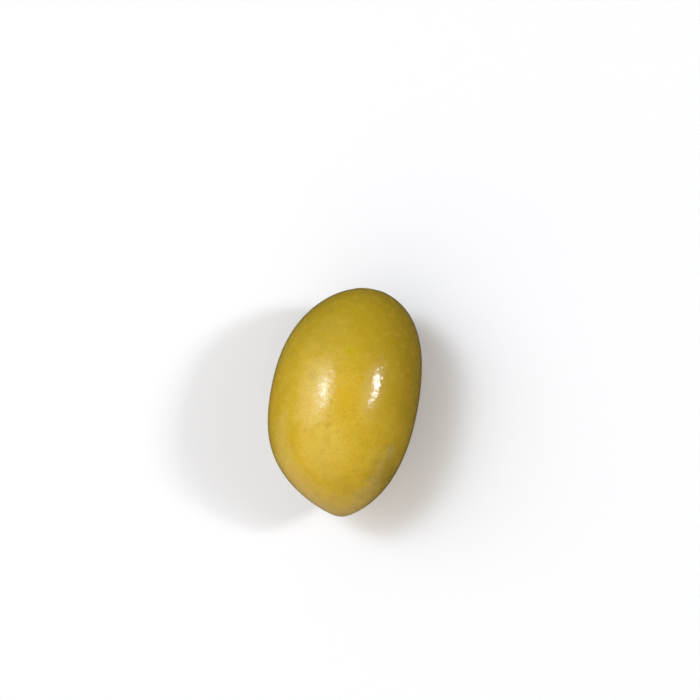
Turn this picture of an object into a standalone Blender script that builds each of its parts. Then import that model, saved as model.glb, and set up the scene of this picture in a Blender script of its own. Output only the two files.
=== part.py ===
"""A whole green table olive, picked and lying on its side. Metres, +Z up.

One solid fruit. The long axis runs along Y: the pointed tip is at -Y and the
blunt stem end, with its shallow stem pit, is at +Y. The fuller flank of the
gently curved body faces -X. The fruit stands on a small flat spot at Z = 0, and
the middle of its bounding box is over the origin.
"""

import math

import bmesh
import bpy
from mathutils import Matrix, Vector

MM = 0.001

# ---- driving dimensions ----
LENGTH = 35.2 * MM          # tip to the mouth of the stem pit, along the axis
WIDTH = 22.4 * MM           # across the thickest place, side to side
DEPTH_SHARE = 0.950         # thickness from top to bottom, as a share of WIDTH
WIDEST_AT = 0.545           # where it is thickest, as a share of LENGTH from the tip

# The outline is a superellipse quarter on each side of the thickest place:
# (1 - s**P) ** Q, where s runs from 0 there to 1 at the end.
TIP_P = 2.88                # straighter flanks that run in to a soft point
TIP_Q = 0.745
TIP_SOFT = 0.012            # share of LENGTH over which the point is rounded off
STEM_P = 2.14               # full, blunt shoulder
STEM_Q = 0.5

# The middle line bows towards -X between the two ends.
BOW = 1.65 * MM
BOW_P = 3.0                 # how evenly the bow is spread along the length
BOW_SKEW = -0.45            # more of it towards the tip

# The funnel where the stalk came out.
PIT_DEPTH = 0.85 * MM
PIT_RADIUS = 1.15 * MM      # where the funnel is down to about a third of its depth

# The dot left by the flower at the tip.
DOT_DEPTH = 0.10 * MM
DOT_RADIUS = 0.40 * MM

# How it lies.
REST_PITCH = math.radians(-0.5)  # tip a little higher than the stem end, to balance
SPOT_DEPTH = 0.18 * MM           # how much of the belly the flat spot takes away

# Mesh density.
AROUND = 56
ALONG = 36
CROWDING = 1.25             # draws the rings together towards the stem pit

# ---- colour of the skin ----
SKIN_COLOUR = (0.560, 0.396, 0.070, 1.0)
SKIN_ROUGHNESS = 0.28


def half_width(u):
    """Radius of the fruit as a share of the largest, u from 0 (tip) to 1 (stem)."""
    if u <= 0.0 or u >= 1.0:
        return 0.0
    if u < WIDEST_AT:
        s = (WIDEST_AT - u) / WIDEST_AT
        rounded = ((u + TIP_SOFT) / u) ** (TIP_Q - 0.5)
        return (1.0 - s ** TIP_P) ** TIP_Q * rounded
    s = (u - WIDEST_AT) / (1.0 - WIDEST_AT)
    return (1.0 - s ** STEM_P) ** STEM_Q


def bow(u):
    """Sideways place of the middle line at u, in metres."""
    v = 2.0 * u - 1.0
    return -BOW * (1.0 - abs(v) ** BOW_P) * (1.0 + BOW_SKEW * v)


def fruit_point(u, across, up):
    """Point of the skin at u; across and up are the unit direction round the axis."""
    scale = half_width(WIDEST_AT)
    radius = 0.5 * WIDTH * half_width(u) / scale
    x = bow(u) + radius * across
    y = LENGTH * u
    z = radius * DEPTH_SHARE * up
    if u > 0.5:
        y -= PIT_DEPTH * math.exp(-((radius / PIT_RADIUS) ** 2))
    else:
        y += DOT_DEPTH * math.exp(-((radius / DOT_RADIUS) ** 2))
    return Vector((x, y, z))


def clear_scene():
    for obj in list(bpy.data.objects):
        bpy.data.objects.remove(obj, do_unlink=True)
    for coll in list(bpy.data.collections):
        bpy.data.collections.remove(coll)


def new_collection(name):
    coll = bpy.data.collections.new(name)
    bpy.context.scene.collection.children.link(coll)
    return coll


def skin_material():
    mat = bpy.data.materials.new("olive_skin")
    mat.use_nodes = True
    bsdf = mat.node_tree.nodes["Principled BSDF"]
    bsdf.inputs["Base Color"].default_value = SKIN_COLOUR
    bsdf.inputs["Roughness"].default_value = SKIN_ROUGHNESS
    bsdf.inputs["Metallic"].default_value = 0.0
    mat.diffuse_color = SKIN_COLOUR
    return mat


def make_fruit(coll):
    """A ball with its poles on the fruit's axis, drawn out into the fruit's form."""
    bm = bmesh.new()
    bmesh.ops.create_uvsphere(bm, u_segments=AROUND, v_segments=ALONG, radius=1.0)
    for vert in bm.verts:
        polar = math.acos(max(-1.0, min(1.0, -vert.co.z))) / math.pi
        polar = 1.0 - (1.0 - polar) ** CROWDING
        u = 0.5 * (1.0 - math.cos(math.pi * polar))
        ring = math.hypot(vert.co.x, vert.co.y)
        if ring > 1e-5:
            across, up = vert.co.x / ring, -vert.co.y / ring
        else:
            across, up = 0.0, 0.0
            u = 0.0 if vert.co.z < 0.0 else 1.0
        vert.co = fruit_point(u, across, up)

    # Lay it down over its balance point.
    bmesh.ops.rotate(bm, cent=(0.0, LENGTH * 0.5, 0.0),
                     matrix=Matrix.Rotation(REST_PITCH, 3, "X"), verts=bm.verts)
    lows = [min(v.co[i] for v in bm.verts) for i in range(3)]
    highs = [max(v.co[i] for v in bm.verts) for i in range(3)]
    shift = Vector((-0.5 * (lows[0] + highs[0]),
                    -0.5 * (lows[1] + highs[1]),
                    -lows[2] - SPOT_DEPTH))
    bmesh.ops.translate(bm, vec=shift, verts=bm.verts)
    bmesh.ops.recalc_face_normals(bm, faces=bm.faces)

    mesh = bpy.data.meshes.new("olive")
    bm.to_mesh(mesh)
    bm.free()
    mesh.materials.append(skin_material())
    mesh.shade_smooth()
    obj = bpy.data.objects.new("olive", mesh)
    coll.objects.link(obj)
    return obj


def make_spot_cutter(coll):
    """Block under the surface that the fruit lies on; its top is the plane Z = 0."""
    bm = bmesh.new()
    bmesh.ops.create_cube(bm, size=1.0)
    mesh = bpy.data.meshes.new("spot_cutter")
    bm.to_mesh(mesh)
    bm.free()
    obj = bpy.data.objects.new("spot_cutter", mesh)
    obj.scale = (2.0 * WIDTH, 2.0 * LENGTH, 4.0 * MM)
    obj.location = (0.0, 0.0, -2.0 * MM)
    obj.hide_render = True
    obj.display_type = "WIRE"
    coll.objects.link(obj)
    return obj


def main():
    clear_scene()
    parts = new_collection("green_olive")
    cutters = new_collection("cutters")
    fruit = make_fruit(parts)
    cutter = make_spot_cutter(cutters)
    cut = fruit.modifiers.new("flat_spot", "BOOLEAN")
    cut.operation = "DIFFERENCE"
    cut.solver = "EXACT"
    cut.object = cutter


main()
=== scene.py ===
"""Looks of the green olive: the fine skin mesh, its wet waxy material, the floor, the light and the camera.

Everything is in the row frame, in metres: +Z up, tip at -Y, stem end at +Y.
"""

import math

import bpy
import numpy as np
from mathutils import Matrix, Vector


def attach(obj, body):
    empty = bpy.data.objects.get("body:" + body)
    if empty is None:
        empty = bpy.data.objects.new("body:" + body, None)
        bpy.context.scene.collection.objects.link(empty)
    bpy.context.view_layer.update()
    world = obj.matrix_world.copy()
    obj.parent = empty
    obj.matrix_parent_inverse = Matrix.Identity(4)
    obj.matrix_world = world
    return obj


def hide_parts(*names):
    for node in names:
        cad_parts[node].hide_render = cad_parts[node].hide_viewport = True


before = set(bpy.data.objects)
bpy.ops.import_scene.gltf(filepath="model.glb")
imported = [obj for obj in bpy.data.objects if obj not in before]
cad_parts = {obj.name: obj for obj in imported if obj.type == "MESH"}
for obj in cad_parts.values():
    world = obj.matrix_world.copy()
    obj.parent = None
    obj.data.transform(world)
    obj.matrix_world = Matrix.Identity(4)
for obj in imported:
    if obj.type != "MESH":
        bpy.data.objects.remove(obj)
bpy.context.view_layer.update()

MM = 0.001

# ---------------------------------------------------------------- the fruit's form
LENGTH = 35.2
WIDTH = 22.4
DEPTH_SHARE = 0.950
WIDEST_AT = 0.545
TIP_P, TIP_Q, TIP_SOFT = 2.88, 0.745, 0.012
STEM_P, STEM_Q = 2.14, 0.5
BOW, BOW_P, BOW_SKEW = 1.65, 3.0, -0.45
PIT_DEPTH, PIT_RADIUS = 0.85, 1.15
REST_PITCH = math.radians(-0.5)
SPOT_DEPTH = 0.18

GRID = 124          # squares along each edge of the six-sided net that wraps the fruit
SEED = 20


def half_width(u):
    """Radius as a share of the largest, at u from 0 (tip) to 1 (stem end)."""
    u = np.clip(u, 1e-9, 1.0 - 1e-12)
    near_tip = u < WIDEST_AT
    s = np.where(near_tip, (WIDEST_AT - u) / WIDEST_AT, (u - WIDEST_AT) / (1 - WIDEST_AT))
    tip = (1 - s ** TIP_P) ** TIP_Q * ((u + TIP_SOFT) / u) ** (TIP_Q - 0.5)
    stem = (1 - np.clip(s, 0, 1) ** STEM_P) ** STEM_Q
    return np.where(near_tip, tip, stem)


def bow(u):
    v = 2 * u - 1
    return -BOW * (1 - np.abs(v) ** BOW_P) * (1 + BOW_SKEW * v)


def smooth_profile():
    """The outline's radius in mm against the angle from the tip, with its middle evened out.

    The two quarters of the outline meet at the thickest place with different curvature, which
    a glossy skin would show as a line. The evening out fades away towards the ends.
    """
    angle = np.linspace(0, math.pi, 1441)
    radius = 0.5 * WIDTH * half_width(0.5 * (1 - np.cos(angle))) / float(half_width(np.array([WIDEST_AT]))[0])
    radius[0] = radius[-1] = 0
    out = radius.copy()
    for i in range(1, len(angle) - 1):
        sigma = 0.17 * math.sin(angle[i]) ** 2
        if sigma < 0.006:
            continue
        w = np.exp(-0.5 * ((angle - angle[i]) / sigma) ** 2)
        out[i] = (w * radius).sum() / w.sum() * math.exp(0.5 * sigma ** 2 * 0.9)
    return angle, out


PROFILE = smooth_profile()


def radius_at(u):
    return np.interp(np.arccos(np.clip(1 - 2 * u, -1, 1)), *PROFILE)


def noise3(points, scale, seed, octaves=1, gain=0.5):
    """Smooth value noise in 3-D, about -1 to 1, the same on every run."""
    total = np.zeros(len(points))
    size, strength, norm = scale, 1.0, 0.0
    for octave in range(octaves):
        q = points / size + 37.7 * (octave + 1)
        cell = np.floor(q).astype(np.int64)
        f = q - cell
        f = f * f * f * (f * (f * 6 - 15) + 10)

        def corner(dx, dy, dz):
            h = (cell[:, 0] + dx) * 374761393 + (cell[:, 1] + dy) * 668265263
            h = h + (cell[:, 2] + dz) * 2147483647 + (seed + octave * 101) * 1274126177
            h = (h ^ (h >> 13)) * 1274126177
            h = h ^ (h >> 16)
            return (h & 0xFFFF) / 32767.5 - 1.0

        x0 = corner(0, 0, 0) * (1 - f[:, 0]) + corner(1, 0, 0) * f[:, 0]
        x1 = corner(0, 1, 0) * (1 - f[:, 0]) + corner(1, 1, 0) * f[:, 0]
        x2 = corner(0, 0, 1) * (1 - f[:, 0]) + corner(1, 0, 1) * f[:, 0]
        x3 = corner(0, 1, 1) * (1 - f[:, 0]) + corner(1, 1, 1) * f[:, 0]
        y0 = x0 * (1 - f[:, 1]) + x1 * f[:, 1]
        y1 = x2 * (1 - f[:, 1]) + x3 * f[:, 1]
        total += strength * (y0 * (1 - f[:, 2]) + y1 * f[:, 2])
        norm += strength
        size, strength = size * 0.5, strength * gain
    return total / norm


def cube_net(n):
    """Unit directions and quads of a closed net of six square grids wrapped on a ball."""
    index, points, quads = {}, [], []
    steps = np.tan(np.linspace(-1, 1, n + 1) * math.pi / 4)
    faces = [((1, 0, 0), (0, 1, 0), (0, 0, 1)), ((-1, 0, 0), (0, 0, 1), (0, 1, 0)),
             ((0, 1, 0), (0, 0, 1), (1, 0, 0)), ((0, -1, 0), (1, 0, 0), (0, 0, 1)),
             ((0, 0, 1), (1, 0, 0), (0, 1, 0)), ((0, 0, -1), (0, 1, 0), (1, 0, 0))]
    for centre, side_a, side_b in faces:
        c, a, b = (np.array(v, float) for v in (centre, side_a, side_b))
        ids = np.zeros((n + 1, n + 1), int)
        for i in range(n + 1):
            for j in range(n + 1):
                p = c + a * steps[i] + b * steps[j]
                key = tuple(np.round(p * 1e6).astype(int)) if 0 < i < n and 0 < j < n else \
                    tuple(np.round(p * 1e4).astype(int))
                if 0 < i < n and 0 < j < n:
                    ids[i, j] = len(points)
                    points.append(p)
                else:
                    if key not in index:
                        index[key] = len(points)
                        points.append(p)
                    ids[i, j] = index[key]
        lo = ids[:-1, :-1].ravel(), ids[1:, :-1].ravel(), ids[1:, 1:].ravel(), ids[:-1, 1:].ravel()
        quads.append(np.stack(lo, 1))
    points = np.array(points)
    points /= np.linalg.norm(points, axis=1)[:, None]
    return points, np.concatenate(quads)


def vertex_normals(co, quads):
    n = np.cross(co[quads[:, 2]] - co[quads[:, 0]], co[quads[:, 3]] - co[quads[:, 1]])
    out = np.zeros_like(co)
    for k in range(4):
        np.add.at(out, quads[:, k], n)
    return out / (np.linalg.norm(out, axis=1)[:, None] + 1e-20)


def fruit_mesh():
    """The skin, in millimetres, laid down as the frame has it."""
    d, quads = cube_net(GRID)
    polar = np.arccos(np.clip(-d[:, 1], -1, 1)) / math.pi
    polar = 1 - (1 - polar) ** 1.10          # a finer net towards the stem pit
    u = 0.5 * (1 - np.cos(math.pi * polar))
    ring = np.hypot(d[:, 0], d[:, 2])
    across = np.where(ring > 1e-7, d[:, 0] / np.maximum(ring, 1e-7), 0)
    up = np.where(ring > 1e-7, d[:, 2] / np.maximum(ring, 1e-7), 0)
    radius = np.where(ring > 1e-7, radius_at(u), 0)
    co = np.stack([bow(u) + radius * across, LENGTH * u, radius * DEPTH_SHARE * up], 1)

    # The smooth form's normals carry all the relief.
    normal = vertex_normals(co, quads)
    if np.mean(np.einsum("ij,ij->i", normal, co - co.mean(0))) < 0:
        quads = quads[:, ::-1]
        normal = -normal

    # Broad, barely visible unevenness of a grown fruit, then the soft ripple of the skin.
    relief = 0.028 * noise3(co, 9.0, SEED + 1, 2)
    relief += 0.016 * noise3(co, 3.6, SEED + 2, 2)
    relief += 0.0045 * noise3(co, 1.25, SEED + 3, 2)

    # The funnel of the stem pit, with a raised, slightly uneven lip.
    angle = np.arctan2(up, across)
    wobble = 1 + 0.10 * np.sin(2 * angle + 0.7) + 0.06 * np.sin(5 * angle + 2.0)
    at_stem = np.where(u > 0.5, 1.0, 0.0)
    share = radius / (PIT_RADIUS * wobble)
    funnel = PIT_DEPTH * np.exp(-share ** 2)
    lip = 0.07 * np.exp(-((radius - 2.1 * wobble) / 0.55) ** 2)
    creases = np.sin(11 * angle + 1.3 * np.sin(3 * angle) + 2.5 * noise3(co, 1.5, SEED + 5))
    lip += 0.022 * creases * np.exp(-((radius - 1.25) / 0.55) ** 2)
    # The torn end of the stalk's bundle stands up a little inside it.
    scar = 0.16 * np.exp(-(radius / 0.42) ** 4) + 0.05 * np.exp(-(radius / 0.62) ** 4) * \
        noise3(co, 0.35, SEED + 4, 2)
    co[:, 1] -= at_stem * (funnel - lip - scar)
    # The dot that the flower left at the tip.
    at_tip = 1 - at_stem
    co[:, 1] += at_tip * 0.10 * np.exp(-(radius / 0.40) ** 2)

    quiet = 1 - 0.8 * at_stem * np.exp(-(radius / 1.6) ** 2)
    co += normal * (relief * quiet)[:, None]

    # Lay it down, then let the belly settle on its flat spot.
    turn = np.array(Matrix.Rotation(REST_PITCH, 3, "X"))
    middle = np.array([0, LENGTH / 2, 0])
    co = (co - middle) @ turn.T + middle
    shift = -0.5 * (co.min(0) + co.max(0))
    shift[2] = -co[:, 2].min() - SPOT_DEPTH
    co += shift
    # Small swellings and hollows of this one fruit: centre, reach and height.
    for centre, reach, height in (
            ((8.0, 11.5, 10.6), 5.5, 0.20),
            ((8.8, -8.5, 10.6), 5.5, 0.10),
            ((-11.2, 0.0, 10.6), 7.0, -0.07)):
        far = np.linalg.norm(co - np.array(centre), axis=1)
        co += normal * (height * np.exp(-0.5 * (far / reach) ** 2))[:, None]

    soft = 0.05
    settled = 0.5 * (co[:, 2] + np.sqrt(co[:, 2] ** 2 + soft ** 2))
    near = np.clip(1 - co[:, 2] / 1.5, 0, 1)
    co[:, 2] = co[:, 2] * (1 - near) + settled * near
    co[:, 2] -= co[:, 2].min()
    axis_middle = (middle - middle) @ turn.T + middle + shift
    return co, quads, axis_middle


co, quads, axis_middle = fruit_mesh()
mesh = bpy.data.meshes.new("olive_fruit")
mesh.vertices.add(len(co))
mesh.vertices.foreach_set("co", (co * MM).astype(np.float32).ravel())
mesh.loops.add(quads.size)
mesh.loops.foreach_set("vertex_index", quads.ravel())
mesh.polygons.add(len(quads))
mesh.polygons.foreach_set("loop_start", np.arange(0, quads.size, 4))
mesh.update(calc_edges=True)
mesh.validate()
mesh.shade_smooth()
fruit = bpy.data.objects.new("olive_fruit", mesh)
bpy.context.scene.collection.objects.link(fruit)


# ---------------------------------------------------------------- the skin's material
class Net:
    """Small helper to write a node tree as a list of steps."""

    def __init__(self, tree):
        self.tree = tree
        self.nodes, self.links = tree.nodes, tree.links

    def add(self, kind, inputs=None, **props):
        node = self.nodes.new(kind)
        for k, v in props.items():
            setattr(node, k, v)
        for k, v in (inputs or {}).items():
            self.put(node.inputs[k], v)
        return node

    def put(self, socket, value):
        if isinstance(value, bpy.types.NodeSocket):
            self.links.new(value, socket)
        else:
            socket.default_value = value

    def math(self, op, a, b=None, c=None, clamp=False):
        node = self.add("ShaderNodeMath", operation=op, use_clamp=clamp)
        for i, v in enumerate((a, b, c)):
            if v is not None:
                self.put(node.inputs[i], v)
        return node.outputs[0]

    def noise(self, vec, scale, detail=2.0, rough=0.5, distortion=0.0, offset=0.0):
        if offset:
            vec = self.add("ShaderNodeVectorMath", {0: vec, 1: (offset, offset * 0.7, -offset)},
                           operation="ADD").outputs[0]
        node = self.add("ShaderNodeTexNoise", {"Vector": vec, "Scale": scale, "Detail": detail,
                                               "Roughness": rough, "Distortion": distortion})
        return node.outputs["Fac"]

    def ramp(self, value, low, high, out_low=0.0, out_high=1.0, smooth=True):
        node = self.add("ShaderNodeMapRange",
                        {"Value": value, "From Min": low, "From Max": high,
                         "To Min": out_low, "To Max": out_high},
                        interpolation_type="SMOOTHSTEP" if smooth else "LINEAR")
        return node.outputs["Result"]

    def mix(self, fac, a, b, blend="MIX"):
        node = self.add("ShaderNodeMix", data_type="RGBA", blend_type=blend)
        self.put(node.inputs[0], fac)
        self.put(node.inputs[6], a)
        self.put(node.inputs[7], b)
        return node.outputs[2]


def olive_skin():
    mat = bpy.data.materials.new("olive_skin_wet")
    mat.use_nodes = True
    tree = mat.node_tree
    tree.nodes.clear()
    n = Net(tree)
    out = n.add("ShaderNodeOutputMaterial")
    bsdf = n.add("ShaderNodeBsdfPrincipled")
    n.links.new(bsdf.outputs[0], out.inputs["Surface"])

    # Object coordinates, in millimetres.
    here = n.add("ShaderNodeTexCoord").outputs["Object"]
    p = n.add("ShaderNodeVectorMath", {0: here, 1: (1000, 1000, 1000)}, operation="MULTIPLY").outputs[0]
    xyz = n.add("ShaderNodeSeparateXYZ", {0: p})
    x, y, z = xyz.outputs[0], xyz.outputs[1], xyz.outputs[2]

    uneven = n.math("SUBTRACT", n.noise(p, 0.85, 3.0, 0.6, offset=5.3), 0.5)

    def spot(centre, size):
        """1 at the centre, falling to 0 at size, in millimetres, with an uneven edge."""
        away = n.add("ShaderNodeVectorMath", {0: p, 1: centre}, operation="SUBTRACT").outputs[0]
        far = n.add("ShaderNodeVectorMath", {0: away}, operation="LENGTH").outputs["Value"]
        return n.ramp(n.math("MULTIPLY_ADD", uneven, size * 1.3, far), size, 0.0)

    # Greens and golds along the fruit: golden belly, browner tip, and a darker olive towards the stem end, partly the
    # fruit's own greener colour and partly painted shade.
    wander = n.math("MULTIPLY", n.math("SUBTRACT", n.noise(p, 0.12, 2.0), 0.5), 9.0)
    along = n.math("ADD", y, wander)
    golden = (0.620, 0.400, 0.022, 1)
    straw = (0.650, 0.440, 0.040, 1)
    leaf = (0.405, 0.278, 0.010, 1)
    ochre = (0.560, 0.345, 0.024, 1)
    brown = (0.330, 0.205, 0.014, 1)

    belly = n.mix(n.ramp(n.noise(p, 0.20, 2.5, 0.5, offset=3.1), 0.38, 0.66), golden, straw)
    # Darker olive towards the stem end: the fruit's greener tone with painted shade in it.
    colour = n.mix(n.ramp(along, -2.0, 14.3), belly, leaf)
    colour = n.mix(n.ramp(along, -8.5, -18.0, 0.0, 0.80), colour, ochre)

    # Painted shade: the flanks, the right one and its rim most of all, and the underside are darkened towards a deep
    # olive green, as they would be in shade.
    drift = n.math("MULTIPLY", n.math("SUBTRACT", n.noise(p, 0.16, 2.0, offset=17.0), 0.5), 4.0)
    painted_shade = (0.385, 0.252, 0.008, 1)
    aslant = n.math("MULTIPLY_ADD", y, 0.36, x)
    colour = n.mix(n.ramp(n.math("ADD", aslant, drift), 1.5, 10.5, 0.0, 0.85), colour, painted_shade)
    # Painted shade along the right rim.
    colour = n.mix(n.ramp(n.math("ADD", aslant, drift), 7.5, 12.5, 0.0, 0.60), colour, (0.250, 0.170, 0.006, 1))
    colour = n.mix(n.ramp(n.math("ADD", x, drift), -4.5, -11.0, 0.0, 0.50), colour, painted_shade)
    colour = n.mix(n.ramp(n.math("ADD", z, drift), 10.0, 3.0, 0.0, 0.45), colour, painted_shade)

    # Soft clouds of riper and greener skin.
    cloud = n.noise(p, 0.42, 3.0, 0.55, 0.25, offset=11.0)
    colour = n.mix(n.ramp(cloud, 0.52, 0.74, 0.0, 0.24), colour, ochre)
    colour = n.mix(n.ramp(cloud, 0.47, 0.27, 0.0, 0.20), colour, leaf)

    # Mottling about a millimetre across, and broken rings and lines of deeper gold.
    amber = (0.470, 0.298, 0.000, 1)
    mottle = n.noise(p, 0.95, 2.0, 0.55, 0.3, offset=63.0)
    colour = n.mix(n.ramp(mottle, 0.53, 0.70, 0.0, 0.28), colour, amber)
    colour = n.mix(n.ramp(mottle, 0.47, 0.32, 0.0, 0.25), colour, straw)
    vein = n.math("ABSOLUTE", n.math("SUBTRACT", n.noise(p, 0.90, 2.0, 0.5, 0.6, offset=51.0), 0.5))
    here_and_there = n.ramp(n.noise(p, 0.33, 2.0, 0.5, offset=57.0), 0.46, 0.62)
    vein = n.math("MULTIPLY", n.ramp(vein, 0.034, 0.004), here_and_there)
    colour = n.mix(n.math("MULTIPLY", vein, 0.36), colour, amber)

    # Fine grain.
    grain = n.noise(p, 3.6, 3.0, 0.65, offset=21.0)
    colour = n.mix(n.ramp(grain, 0.50, 0.70, 0.0, 0.75), colour, amber)
    colour = n.mix(n.ramp(grain, 0.48, 0.30, 0.0, 0.40), colour, straw)

    # Marks on this one fruit: centre, reach, strength and colour. Most are its own blotches and spots; the two broad
    # dark ones low on the right towards the tip are painted shade, and the small greyish one is a painted reflection.
    for centre, reach, strength, tint in (
            ((0.0, 6.5, 20.7), 1.5, 0.75, (0.52, 0.38, 0.006)),
            ((0.0, 6.4, 20.8), 0.6, 0.35, (0.34, 0.22, 0.008)),
            ((-5.0, 2.0, 20.2), 1.1, 0.40, (0.36, 0.26, 0.012)),
            ((0.4, 0.1, 21.3), 2.6, 0.40, (0.64, 0.37, 0.010)),
            ((3.7, -2.2, 20.6), 1.2, 0.45, (0.48, 0.29, 0.010)),
            ((-1.6, -4.9, 20.9), 0.9, 0.45, (0.40, 0.25, 0.008)),
            ((-1.6, -7.3, 20.3), 1.2, 0.35, (0.44, 0.28, 0.008)),
            ((-3.6, 12.7, 17.2), 0.9, 0.45, (0.28, 0.19, 0.010)),
            ((1.5, 9.9, 19.7), 1.5, 0.35, (0.42, 0.26, 0.008)),
            ((2.2, -13.1, 17.2), 2.4, 0.28, (0.42, 0.25, 0.012)),
            # Painted shade: two broad dark patches low on the right, towards the tip.
            ((7.8, -10.1, 15.2), 5.4, 0.62, (0.33, 0.220, 0.018)),
            ((7.6, -11.8, 12.0), 5.5, 0.55, (0.29, 0.190, 0.014)),
            ((0.8, -16.8, 13.0), 4.2, 0.40, (0.40, 0.275, 0.026)),
            ((4.6, -14.2, 15.0), 1.9, 0.45, (0.34, 0.245, 0.010)),
            ((-1.8, -15.2, 14.5), 1.0, 0.40, (0.45, 0.25, 0.020)),
            ((0.5, -15.4, 15.1), 0.8, 0.40, (0.52, 0.28, 0.020)),
            ((-10.7, -2.5, 14.1), 3.4, 0.32, (0.62, 0.35, 0.010)),
            # Painted reflection: a small greyish patch on the lower right.
            ((8.1, -7.4, 16.4), 1.7, 0.30, (0.50, 0.41, 0.170)),
            ((-6.6, -8.7, 17.7), 1.0, 0.35, (0.46, 0.27, 0.050)),
            ((10.3, 4.0, 8.0), 1.3, 0.45, (0.22, 0.14, 0.010)),
            ((9.4, -6.0, 7.0), 0.8, 0.55, (0.19, 0.11, 0.012)),
            ((-10.6, 6.0, 8.0), 1.6, 0.40, (0.28, 0.18, 0.010)),
            ((-8.5, 10.5, 6.5), 0.9, 0.55, (0.20, 0.12, 0.012)),
            ((-9.0, -8.5, 10.5), 2.0, 0.35, (0.45, 0.26, 0.010)),
            ((7.6, 11.0, 13.5), 1.5, 0.40, (0.33, 0.21, 0.010)),
            ((3.0, 16.2, 13.0), 0.7, 0.55, (0.22, 0.14, 0.012)),
            ((4.6, -12.3, 7.0), 1.2, 0.45, (0.27, 0.17, 0.012))):
        colour = n.mix(n.math("MULTIPLY", spot(centre, reach), strength), colour, (*tint, 1))

    # Breathing pores: faint darker dots, each in its own cell, unlike in size and strength.
    cells = n.add("ShaderNodeTexVoronoi", {"Vector": p, "Scale": 0.85, "Randomness": 1.0})
    pick = n.add("ShaderNodeSeparateColor", {0: cells.outputs["Color"]})
    reach = n.math("MULTIPLY_ADD", pick.outputs[0], 0.12, 0.12)
    pore = n.ramp(n.math("DIVIDE", cells.outputs["Distance"], reach), 1.5, 0.35)
    strength = n.ramp(pick.outputs[1], 0.10, 1.0, 0.04, 0.34)
    colour = n.mix(n.math("MULTIPLY", pore, strength), colour, (0.400, 0.235, 0.000, 1))

    # Now and then a larger, fainter mark.
    marks = n.add("ShaderNodeTexVoronoi", {"Vector": p, "Scale": 0.20, "Randomness": 1.0})
    which = n.add("ShaderNodeSeparateColor", {0: marks.outputs["Color"]})
    size = n.math("MULTIPLY_ADD", which.outputs[0], 0.10, 0.06)
    mark = n.ramp(n.math("DIVIDE", n.math("ADD", marks.outputs["Distance"],
                  n.math("MULTIPLY", n.math("SUBTRACT", n.noise(p, 1.3, 3.0, offset=7.0), 0.5), 0.10)), size), 1.6, 0.3)
    colour = n.mix(n.math("MULTIPLY", mark, n.ramp(which.outputs[1], 0.35, 1.0, 0.0, 0.38)), colour, (0.40, 0.245, 0.010, 1))

    # The stem pit is browner, and its torn heart darker still.
    stem_at = (axis_middle[0], axis_middle[1] + LENGTH / 2 * math.cos(REST_PITCH),
               axis_middle[2] + LENGTH / 2 * math.sin(REST_PITCH))
    away = n.add("ShaderNodeVectorMath", {0: p, 1: stem_at}, operation="SUBTRACT").outputs[0]
    flat = n.add("ShaderNodeVectorMath", {0: away, 1: (1.0, 0.25, 1.0)}, operation="MULTIPLY").outputs[0]
    ring = n.add("ShaderNodeVectorMath", {0: flat}, operation="LENGTH").outputs["Value"]
    ragged = n.math("ADD", ring, n.math("MULTIPLY", n.math("SUBTRACT", n.noise(p, 1.6, 3.0), 0.5), 0.7))
    colour = n.mix(n.ramp(ragged, 3.2, 1.9, 0.0, 0.35), colour, (0.50, 0.38, 0.060, 1))
    colour = n.mix(n.ramp(ragged, 1.7, 0.8, 0.0, 0.60), colour, (0.25, 0.155, 0.018, 1))
    colour = n.mix(n.ramp(ragged, 0.85, 0.55, 0.0, 0.9), colour, (0.085, 0.048, 0.012, 1))
    fibres = n.noise(p, 9.0, 2.0, 0.7)
    heart = n.ramp(ragged, 0.50, 0.30)
    colour = n.mix(n.math("MULTIPLY", heart, n.ramp(fibres, 0.42, 0.60)), colour, (0.30, 0.20, 0.085, 1))

    # The flower's dot at the tip.
    tip_at = (axis_middle[0], axis_middle[1] - LENGTH / 2, axis_middle[2] - LENGTH / 2 * math.sin(REST_PITCH))
    away = n.add("ShaderNodeVectorMath", {0: p, 1: tip_at}, operation="SUBTRACT").outputs[0]
    ring = n.add("ShaderNodeVectorMath", {0: away}, operation="LENGTH").outputs["Value"]
    ragged = n.math("ADD", ring, n.math("MULTIPLY", n.math("SUBTRACT", n.noise(p, 2.4, 3.0), 0.5), 0.35))
    colour = n.mix(n.ramp(ragged, 2.2, 0.6, 0.0, 0.40), colour, brown)
    colour = n.mix(n.ramp(ragged, 0.55, 0.15, 0.0, 0.55), colour, (0.170, 0.100, 0.022, 1))

    n.put(bsdf.inputs["Base Color"], colour)

    # Gloss: a waxy skin under a thin wet film, uneven from place to place.
    patchy = n.noise(p, 0.33, 3.0, 0.55, offset=31.0)
    rough = n.ramp(patchy, 0.30, 0.72, 0.22, 0.31)
    rough = n.math("ADD", rough, n.math("MULTIPLY", pore, 0.04))
    n.put(bsdf.inputs["Roughness"], rough)
    bsdf.inputs["IOR"].default_value = 1.38
    bsdf.inputs["Specular IOR Level"].default_value = 0.24
    bsdf.inputs["Subsurface Weight"].default_value = 0.25
    bsdf.inputs["Subsurface Radius"].default_value = (1.0, 0.55, 0.10)
    bsdf.inputs["Subsurface Scale"].default_value = 0.0012
    bsdf.inputs["Coat Weight"].default_value = 1.0
    bsdf.inputs["Coat Roughness"].default_value = 0.045
    bsdf.inputs["Coat IOR"].default_value = 1.34

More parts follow.
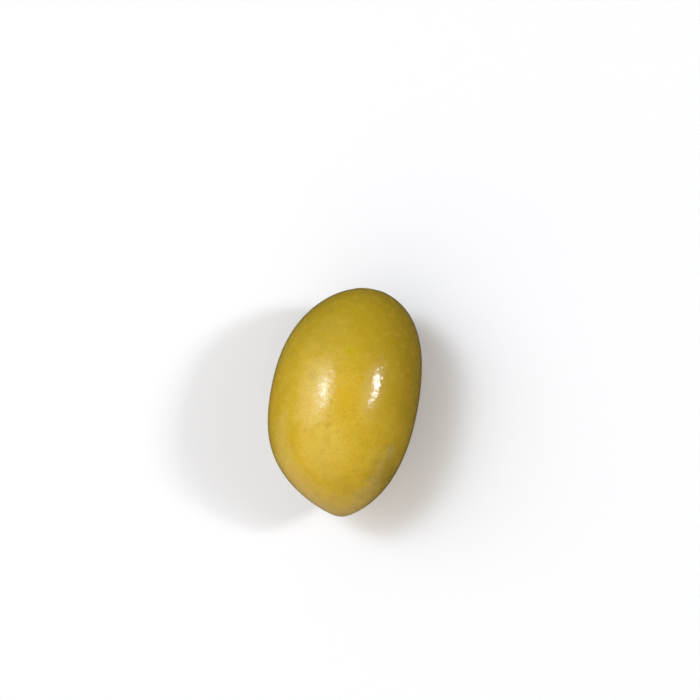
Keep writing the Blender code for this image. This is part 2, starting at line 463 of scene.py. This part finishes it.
    # Relief too fine for the mesh: skin texture under the film, and the pores.
    ripple = n.noise(p, 1.05, 2.0, 0.5, offset=40.0)
    skin = n.noise(p, 3.4, 2.0, 0.5, offset=41.0)
    fine = n.noise(p, 9.0, 1.0, 0.5, offset=43.0)
    height = n.math("ADD", n.math("MULTIPLY", skin, 0.012), n.math("MULTIPLY", fine, 0.0022))
    height = n.math("ADD", height, n.math("MULTIPLY", ripple, 0.030))
    height = n.math("SUBTRACT", height, n.math("MULTIPLY", pore, 0.004))
    bump = n.add("ShaderNodeBump", {"Height": height, "Strength": 1.0, "Distance": MM})
    n.put(bsdf.inputs["Normal"], bump.outputs[0])
    chop = n.noise(p, 2.3, 0.0, 0.5, 0.5, offset=44.0)
    film = n.math("ADD", n.math("MULTIPLY", chop, 0.0180), n.math("MULTIPLY", ripple, 0.036))
    film_bump = n.add("ShaderNodeBump", {"Height": film, "Strength": 1.0, "Distance": MM})
    n.put(bsdf.inputs["Coat Normal"], film_bump.outputs[0])
    return mat


fruit.data.materials.append(olive_skin())
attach(fruit, "root")
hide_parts("olive")


# ---------------------------------------------------------------- floor
def floor_material():
    mat = bpy.data.materials.new("pale_floor")
    mat.use_nodes = True
    n = Net(mat.node_tree)
    bsdf = mat.node_tree.nodes["Principled BSDF"]
    # Bounced light and reflections find the floor dimmer than it looks, which keeps the
    # fruit's sides as deep in colour as they are in the photograph.
    path = n.add("ShaderNodeLightPath").outputs
    shade = n.mix(path["Is Diffuse Ray"], (0.885, 0.866, 0.845, 1), (0.42, 0.42, 0.42, 1))
    place = n.add("ShaderNodeSeparateXYZ", {0: n.add("ShaderNodeTexCoord").outputs["Object"]})
    before_tip = n.ramp(n.math("MULTIPLY_ADD", place.outputs[0], 0.2, place.outputs[1]), -0.010, -0.040)
    mirrored = n.mix(before_tip, (0.10, 0.085, 0.045, 1), (0.60, 0.60, 0.60, 1))
    shade = n.mix(path["Is Glossy Ray"], shade, mirrored)
    n.put(bsdf.inputs["Base Color"], shade)
    bsdf.inputs["Roughness"].default_value = 1.0
    bsdf.inputs["Specular IOR Level"].default_value = 0.0
    return mat


floor_mesh = bpy.data.meshes.new("floor")
side = 0.8
floor_mesh.from_pydata([(-side, -side, 0), (side, -side, 0), (side, side, 0), (-side, side, 0)], [], [(0, 1, 2, 3)])
floor = bpy.data.objects.new("floor", floor_mesh)
floor.location = (0, 0, -0.02 * MM)
floor.data.materials.append(floor_material())
bpy.context.scene.collection.objects.link(floor)


# ---------------------------------------------------------------- camera
AZIMUTH, ELEVATION = math.radians(7.77), math.radians(82.0)
LENS = 135.0
MM_PER_PIXEL = 35.2 / 230.7
AXIS_MIDDLE_PIXEL = (354.3, 402.3)      # where the middle of the fruit's axis shows, of 700 x 700

right = Vector((math.cos(AZIMUTH), math.sin(AZIMUTH), 0))
back = Vector((math.sin(AZIMUTH) * math.cos(ELEVATION), -math.cos(AZIMUTH) * math.cos(ELEVATION), math.sin(ELEVATION)))
above = back.cross(right)
target = Vector(axis_middle) * MM
distance = MM_PER_PIXEL * MM * 700 * LENS / 36.0
cam_data = bpy.data.cameras.new("camera")
cam_data.lens = LENS
cam_data.sensor_width = 36.0
cam_data.clip_start, cam_data.clip_end = 0.01, 50.0
camera = bpy.data.objects.new("camera", cam_data)
off_x = (AXIS_MIDDLE_PIXEL[0] - 350) * MM_PER_PIXEL * MM
off_y = (350 - AXIS_MIDDLE_PIXEL[1]) * MM_PER_PIXEL * MM
camera.matrix_world = Matrix((
    (*[right.x, above.x, back.x], 0), (*[right.y, above.y, back.y], 0),
    (*[right.z, above.z, back.z], 0), (0, 0, 0, 1)))
camera.location = target + back * distance - right * off_x - above * off_y
bpy.context.scene.collection.objects.link(camera)
bpy.context.scene.camera = camera


# ---------------------------------------------------------------- light
def from_camera(x, y, z):
    """A direction given as right, up and towards the camera, in the row frame."""
    return (right * x + above * y + back * z).normalized()


AWAY = 6.0          # far enough to light the whole floor evenly
LEVEL = 1.058       # of all the lamps and the light from all round


def lamp(name, direction, wide, high, radiance, tint=(1, 1, 1), lean=0.0):
    """A flat round light that faces the fruit from afar.

    wide and high are the angles it fills, in radians, radiance is its brightness, and lean
    turns it in its own plane, in degrees.
    """
    wide, high = wide * AWAY, high * AWAY
    data = bpy.data.lights.new(name, "AREA")
    data.shape = "ELLIPSE"
    data.size, data.size_y = wide, high
    data.energy = LEVEL * radiance * math.pi * math.pi / 4 * wide * high
    data.color = tint
    obj = bpy.data.objects.new(name, data)
    # Its own up edge stays upright in the picture.
    z = direction.normalized()
    y = (above - z * above.dot(z)).normalized()
    x = y.cross(z)
    basis = Matrix(((x.x, y.x, z.x), (x.y, y.y, z.y), (x.z, y.z, z.z)))
    obj.matrix_world = Matrix.Translation(target + z * AWAY) @ basis.to_4x4() @ \
        Matrix.Rotation(math.radians(-lean), 4, "Z")
    bpy.context.scene.collection.objects.link(obj)
    return obj


# The broad soft light on the left: nested sizes, so that its edge fades.
left = from_camera(-0.470, 0.318, 0.823)
COOL = (0.74, 0.89, 1.10)
lamp("left_core", from_camera(-0.478, 0.312, 0.821), 0.17, 0.13, 12.5, COOL)
lamp("left_inner", left, 0.36, 0.27, 5.1, COOL)
lamp("left_mid", left, 0.52, 0.37, 2.9, COOL)
lamp("left_wide", from_camera(-0.67, 0.27, 0.69), 0.70, 0.52, 0.98)
lamp("left_outer", from_camera(-0.70, 0.27, 0.66), 1.00, 0.78, 1.06)
# The small bright one on the right.
lamp("right_spot", from_camera(0.731, 0.180, 0.658), 0.185, 0.122, 46.0, (0.95, 0.985, 1.03), lean=18.0)
lamp("right_wide", from_camera(0.620, 0.170, 0.770), 0.50, 0.40, 1.25, (1.05, 1.00, 0.95))
lamp("right_low", from_camera(0.683, 0.082, 0.726), 0.08, 0.06, 36.0, (0.95, 0.985, 1.03))
# Faint wide light from the near left.
near = from_camera(-0.45, -0.45, 0.77)
WARM = (1.10, 1.05, 0.95)
lamp("near_inner", near, 0.70, 0.60, 0.80, WARM)
lamp("near_mid", near, 1.15, 1.00, 0.72, WARM)
lamp("near_outer", near, 1.60, 1.45, 0.54, WARM)
# And from beyond the stem end.
far = from_camera(-0.56, 0.72, 0.42)
lamp("far_inner", far, 0.75, 0.55, 0.26)
lamp("far_mid", far, 1.10, 0.85, 0.30)
lamp("far_outer", far, 1.50, 1.20, 0.28)

# Light from all round is faint, but the backdrop itself shows nearly white.
world = bpy.data.worlds.new("studio")
world.use_nodes = True
n = Net(world.node_tree)
path = n.add("ShaderNodeLightPath").outputs
around = n.mix(path["Is Glossy Ray"], (0.205, 0.192, 0.192, 1), (0.195, 0.170, 0.105, 1))
n.put(world.node_tree.nodes["Background"].inputs["Color"],
      n.mix(path["Is Camera Ray"], around, (0.94, 0.94, 0.94, 1)))
world.node_tree.nodes["Background"].inputs["Strength"].default_value = LEVEL
bpy.context.scene.world = world

bpy.context.scene.view_settings.view_transform = "Standard"
bpy.context.scene.view_settings.look = "None"
